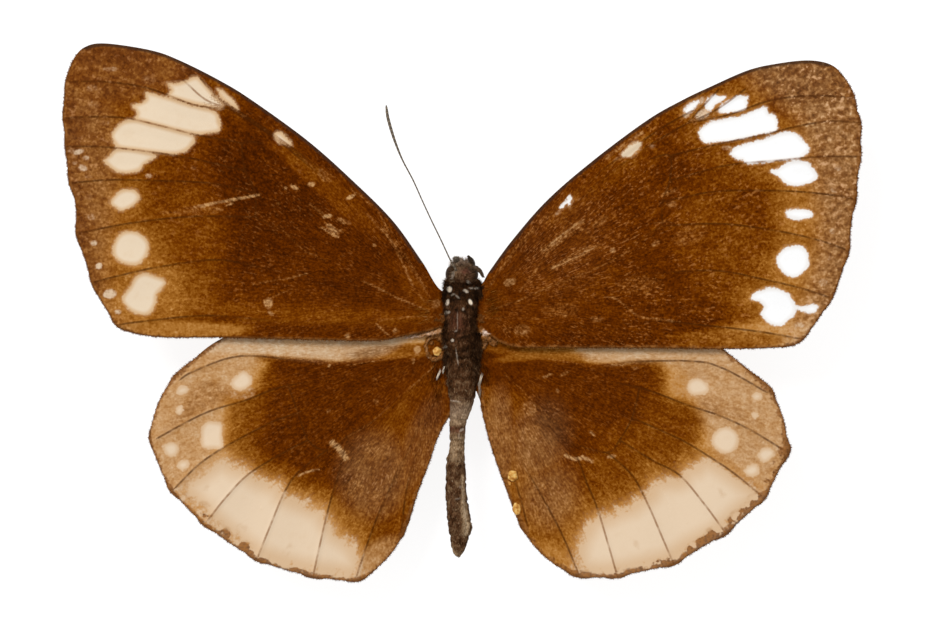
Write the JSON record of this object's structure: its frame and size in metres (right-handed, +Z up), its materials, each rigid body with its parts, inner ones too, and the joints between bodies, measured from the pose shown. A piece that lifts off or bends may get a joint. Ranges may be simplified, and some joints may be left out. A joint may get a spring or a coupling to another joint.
{
  "type": "small brown crow butterfly",
  "caption": "Small brown crow butterfly as a dried museum specimen, its pale-spotted brown wings spread flat, standing low on its legs.",
  "frame": {"origin": "on the floor under the middle of the whole specimen's bounding box", "axes": "+X to the animal's right wing tips, +Y towards the head, +Z up"},
  "size_m": [0.0639, 0.0432, 0.0088],
  "materials": {
    "wing_upper": "matt scaled membrane, dark brown with cream spots",
    "wing_lower": "matt scaled membrane, dark brown with a broad cream border",
    "body": "blackish brown, short fur",
    "abdomen": "dry grey-brown skin, shrunken",
    "eye": "dull dark facets",
    "limb": "dark, satin"
  },
  "bodies": {
    "root": {"abdomen": "abdomen", "antenna_left": "limb", "antenna_stub_right": "limb", "eye_left": "eye", "eye_right": "eye", "foreleg_left": "limb", "foreleg_right": "limb", "forewing_left": "wing_upper", "forewing_right": "wing_upper", "head": "body", "hindleg_left": "limb", "hindleg_right": "limb", "hindwing_left": "wing_lower", "hindwing_right": "wing_lower", "midleg_left": "limb", "midleg_right": "limb", "palp_left": "limb", "palp_right": "limb", "proboscis": "limb", "thorax": "body"}
  },
  "joints": []
}
